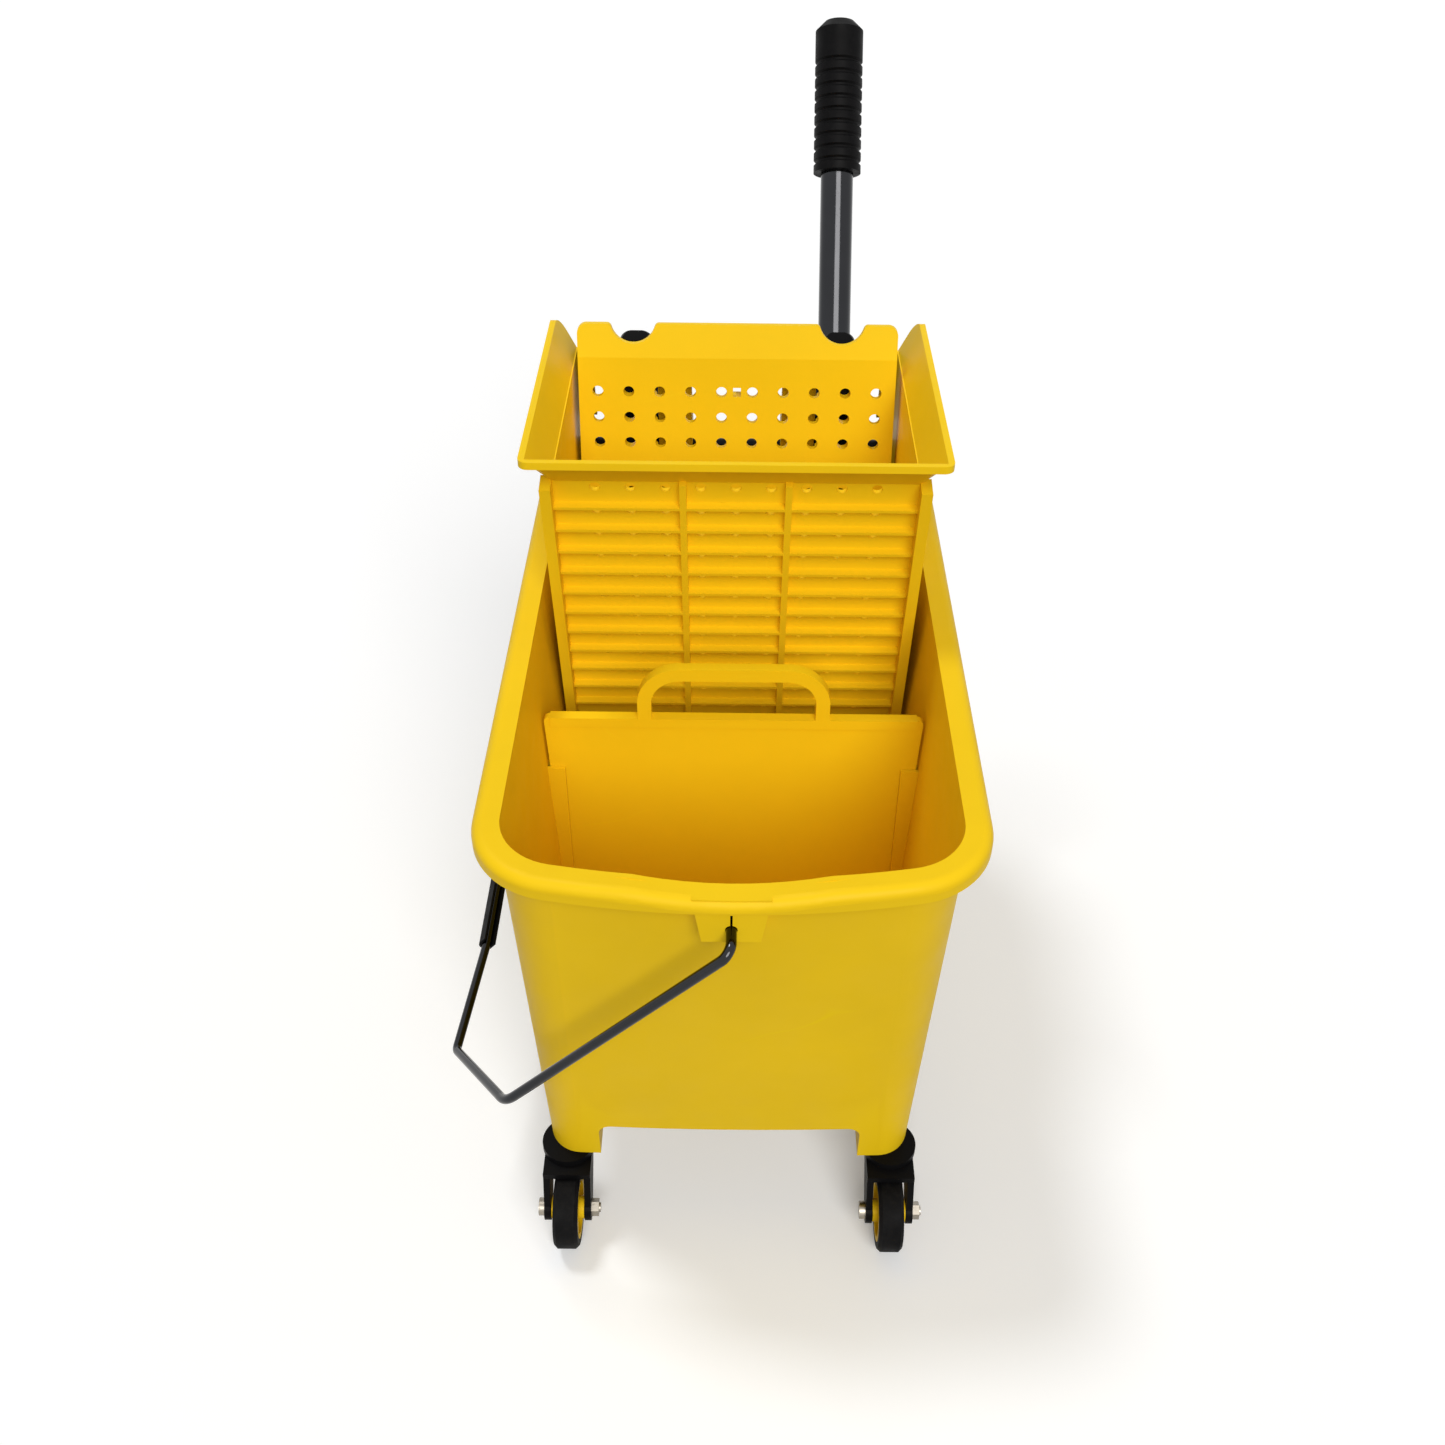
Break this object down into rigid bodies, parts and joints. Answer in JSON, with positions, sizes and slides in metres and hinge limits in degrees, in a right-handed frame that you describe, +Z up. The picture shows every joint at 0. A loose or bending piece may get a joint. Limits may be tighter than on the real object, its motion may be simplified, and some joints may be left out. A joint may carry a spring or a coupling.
{
  "type": "mop bucket with wringer",
  "caption": "Rolling plastic mop bucket with a divider, a swinging bail handle, and a lift-off lever-press wringer with a perforated plate.",
  "frame": {"origin": "on the floor below the middle of the tub's rim outline", "axes": "+Z up, -Y towards the tub's pouring end, +Y towards the wringer, +X to the right seen from the pouring end"},
  "size_m": [0.3072, 0.594, 0.5886],
  "materials": {
    "yellow_plastic": "moulded polypropylene, satin gloss",
    "black_plastic": "moulded glass-filled nylon",
    "black_grip": "moulded grip",
    "tyre_rubber": "soft grey-black tread",
    "chrome": "bright plated steel",
    "black_paint": "black painted",
    "zinc_steel": "zinc plated"
  },
  "bodies": {
    "bucket": {"bucket_tub": "yellow_plastic", "caster_fl_mount": "black_plastic", "caster_fr_mount": "black_plastic", "caster_rl_mount": "black_plastic", "caster_rr_mount": "black_plastic"},
    "divider": {"divider_panel": "yellow_plastic"},
    "bail": {"bail_wire": "chrome", "bail_grip": "black_grip"},
    "wringer": {"wringer_basket": "yellow_plastic", "plate_hinge_rod": "zinc_steel", "shaft_bushes": "black_plastic"},
    "press_plate": {"press_plate": "yellow_plastic"},
    "press_lever": {"press_shaft": "black_paint", "arm_left": "black_plastic", "arm_right": "black_plastic", "arm_pins": "zinc_steel", "shaft_clips": "zinc_steel", "lever_tube": "chrome", "lever_grip": "black_grip", "lever_screw": "zinc_steel"},
    "caster_fl": {"caster_fl_fork": "black_plastic", "caster_fl_axle": "zinc_steel", "caster_fl_nut": "zinc_steel"},
    "wheel_fl": {"caster_fl_hub": "yellow_plastic", "caster_fl_tyre": "tyre_rubber"},
    "caster_fr": {"caster_fr_fork": "black_plastic", "caster_fr_axle": "zinc_steel", "caster_fr_nut": "zinc_steel"},
    "wheel_fr": {"caster_fr_hub": "yellow_plastic", "caster_fr_tyre": "tyre_rubber"},
    "caster_rl": {"caster_rl_fork": "black_plastic", "caster_rl_axle": "zinc_steel", "caster_rl_nut": "zinc_steel"},
    "wheel_rl": {"caster_rl_hub": "yellow_plastic", "caster_rl_tyre": "tyre_rubber"},
    "caster_rr": {"caster_rr_fork": "black_plastic", "caster_rr_axle": "zinc_steel", "caster_rr_nut": "zinc_steel"},
    "wheel_rr": {"caster_rr_hub": "yellow_plastic", "caster_rr_tyre": "tyre_rubber"}
  },
  "joints": [
    {"name": "divider_lift", "type": "slide", "parent": "bucket", "child": "divider", "axis": [0, 0, 1], "range_m": [0, 0.24]},
    {"name": "bail_swing", "type": "hinge", "parent": "bucket", "child": "bail", "pos_m": [0, 0, 0.305], "axis": [0, 1, 0], "range_deg": [-10, 90]},
    {"name": "wringer_lift", "type": "slide", "parent": "bucket", "child": "wringer", "axis": [0, 0, 1], "range_m": [0, 0.25]},
    {"name": "lever_turn", "type": "hinge", "parent": "wringer", "child": "press_lever", "pos_m": [0, 0.189, 0.345], "axis": [1, 0, 0], "range_deg": [0, 75]},
    {"name": "plate_press", "type": "hinge", "parent": "wringer", "child": "press_plate", "pos_m": [0, 0.131, 0.23], "axis": [1, 0, 0], "range_deg": [0, 22.5]},
    {"name": "swivel_fl", "type": "hinge", "parent": "bucket", "child": "caster_fl", "pos_m": [-0.1005, -0.176, 0.058], "axis": [0, 0, 1], "continuous": true},
    {"name": "roll_fl", "type": "hinge", "parent": "caster_fl", "child": "wheel_fl", "pos_m": [-0.1005, -0.2015, 0.025], "axis": [1, 0, 0], "continuous": true},
    {"name": "swivel_fr", "type": "hinge", "parent": "bucket", "child": "caster_fr", "pos_m": [0.1005, -0.176, 0.058], "axis": [0, 0, 1], "continuous": true},
    {"name": "roll_fr", "type": "hinge", "parent": "caster_fr", "child": "wheel_fr", "pos_m": [0.1005, -0.2015, 0.025], "axis": [1, 0, 0], "continuous": true},
    {"name": "swivel_rl", "type": "hinge", "parent": "bucket", "child": "caster_rl", "pos_m": [-0.1005, 0.176, 0.058], "axis": [0, 0, 1], "continuous": true},
    {"name": "roll_rl", "type": "hinge", "parent": "caster_rl", "child": "wheel_rl", "pos_m": [-0.1005, 0.1505, 0.025], "axis": [1, 0, 0], "continuous": true},
    {"name": "swivel_rr", "type": "hinge", "parent": "bucket", "child": "caster_rr", "pos_m": [0.1005, 0.176, 0.058], "axis": [0, 0, 1], "continuous": true},
    {"name": "roll_rr", "type": "hinge", "parent": "caster_rr", "child": "wheel_rr", "pos_m": [0.1005, 0.1505, 0.025], "axis": [1, 0, 0], "continuous": true}
  ],
  "couplings": [
    {"joint": "plate_press", "follows": "lever_turn", "ratio": 0.3}
  ]
}
